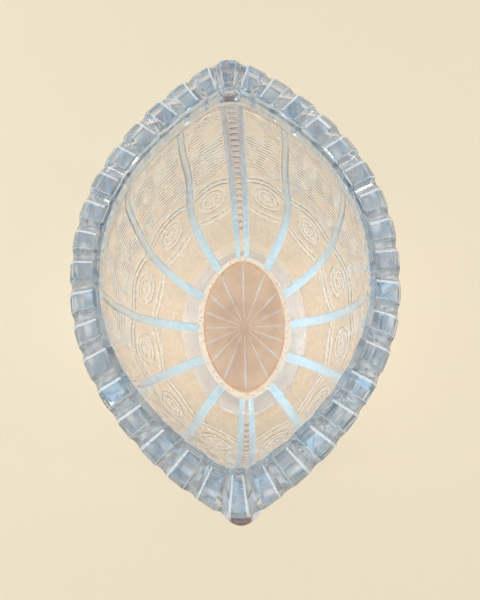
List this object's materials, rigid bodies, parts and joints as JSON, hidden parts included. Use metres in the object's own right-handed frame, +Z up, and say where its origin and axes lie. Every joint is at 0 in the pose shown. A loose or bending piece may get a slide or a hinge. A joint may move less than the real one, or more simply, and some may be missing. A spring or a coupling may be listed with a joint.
{
  "type": "cut crystal vessel",
  "caption": "Heavy cut-crystal vessel with a pointed-oval mouth, a toothed collar, plain ribs between cut panels and a star-cut foot.",
  "frame": {"origin": "under the middle of the foot, on the surface it stands on", "axes": "+Z up; +Y along the mouth to its far tip; +X across the mouth"},
  "size_m": [0.1564, 0.2114, 0.178],
  "materials": {
    "crystal": "clear cut crystal with a faint cool tint, polished inside and on the rim, cut outside"
  },
  "bodies": {
    "root": {"star_foot": "crystal", "rib_left_1": "crystal", "rib_left_2": "crystal", "rib_left_3": "crystal", "rib_left_4": "crystal", "rib_left_5": "crystal", "panel_left_1": "crystal", "panel_left_2": "crystal", "panel_left_3": "crystal", "panel_left_4": "crystal", "panel_left_5": "crystal", "panel_left_6": "crystal", "rib_right_1": "crystal", "rib_right_2": "crystal", "rib_right_3": "crystal", "rib_right_4": "crystal", "rib_right_5": "crystal", "panel_right_1": "crystal", "panel_right_2": "crystal", "panel_right_3": "crystal", "panel_right_4": "crystal", "panel_right_5": "crystal", "panel_right_6": "crystal", "spine_rib_near_left": "crystal", "spine_rib_near_right": "crystal", "ladder_near": "crystal", "spine_rib_far_left": "crystal", "spine_rib_far_right": "crystal", "ladder_far": "crystal", "rim_left_1": "crystal", "rim_left_2": "crystal", "rim_left_3": "crystal", "rim_left_4": "crystal", "rim_left_5": "crystal", "rim_right_1": "crystal", "rim_right_2": "crystal", "rim_right_3": "crystal", "rim_right_4": "crystal", "rim_right_5": "crystal", "rim_nose_near": "crystal", "rim_nose_far": "crystal"}
  },
  "joints": []
}
